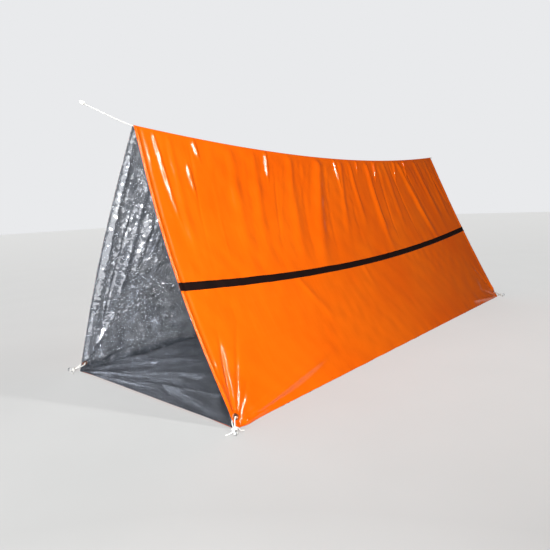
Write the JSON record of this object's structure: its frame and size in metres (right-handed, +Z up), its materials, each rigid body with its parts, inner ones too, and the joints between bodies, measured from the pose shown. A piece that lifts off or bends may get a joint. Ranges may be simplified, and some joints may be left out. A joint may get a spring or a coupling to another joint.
{
  "type": "emergency tube tent",
  "caption": "Pitched tube tent of orange film with a silver inside, over a ridge cord, its corners tied by eyelets to hook pegs.",
  "frame": {"origin": "on the ground, under the middle of the tent's floor film", "axes": "+Z up; Y along the tube, with the pictured open end at -Y; X across, with the pictured side wall at +X"},
  "size_m": [1.02, 2.6339, 1.1671],
  "materials": {
    "orange_film": "gloss",
    "silver_film": "metallised gloss",
    "black_band": "matte",
    "white_cord": "braided, matte",
    "copper_eyelet": "polished copper tone",
    "steel_peg": "plain drawn wire"
  },
  "bodies": {
    "tent": {"film_right_wall": "orange_film", "film_left_wall": "orange_film", "film_floor": "silver_film", "stripe_right": "black_band", "stripe_left": "black_band", "ridge_cord": "white_cord", "ridge_cord_front_end": "white_cord", "front_end_knot": "white_cord", "rear_end_knot": "white_cord", "eyelet_front_right": "copper_eyelet", "eyelet_front_left": "copper_eyelet", "eyelet_rear_right": "copper_eyelet", "eyelet_rear_left": "copper_eyelet", "eyelet_washer_front_right": "copper_eyelet", "eyelet_washer_front_left": "copper_eyelet", "eyelet_washer_rear_right": "copper_eyelet", "eyelet_washer_rear_left": "copper_eyelet", "corner_tie_front_right": "white_cord", "corner_tie_front_left": "white_cord", "corner_tie_rear_right": "white_cord", "corner_tie_rear_left": "white_cord", "tie_knot_front_right": "white_cord", "tie_knot_front_left": "white_cord", "tie_knot_rear_right": "white_cord", "tie_knot_rear_left": "white_cord"},
    "peg_front_right": {"peg_front_right": "steel_peg"},
    "peg_front_left": {"peg_front_left": "steel_peg"},
    "peg_rear_right": {"peg_rear_right": "steel_peg"},
    "peg_rear_left": {"peg_rear_left": "steel_peg"}
  },
  "joints": [
    {"name": "peg_front_right_pull", "type": "slide", "parent": "tent", "child": "peg_front_right", "axis": [0.1228, -0.1228, 0.9848], "range_m": [0, 0.16]},
    {"name": "peg_front_left_pull", "type": "slide", "parent": "tent", "child": "peg_front_left", "axis": [-0.1228, -0.1228, 0.9848], "range_m": [0, 0.16]},
    {"name": "peg_rear_right_pull", "type": "slide", "parent": "tent", "child": "peg_rear_right", "axis": [0.1228, 0.1228, 0.9848], "range_m": [0, 0.16]},
    {"name": "peg_rear_left_pull", "type": "slide", "parent": "tent", "child": "peg_rear_left", "axis": [-0.1228, 0.1228, 0.9848], "range_m": [0, 0.16]}
  ]
}
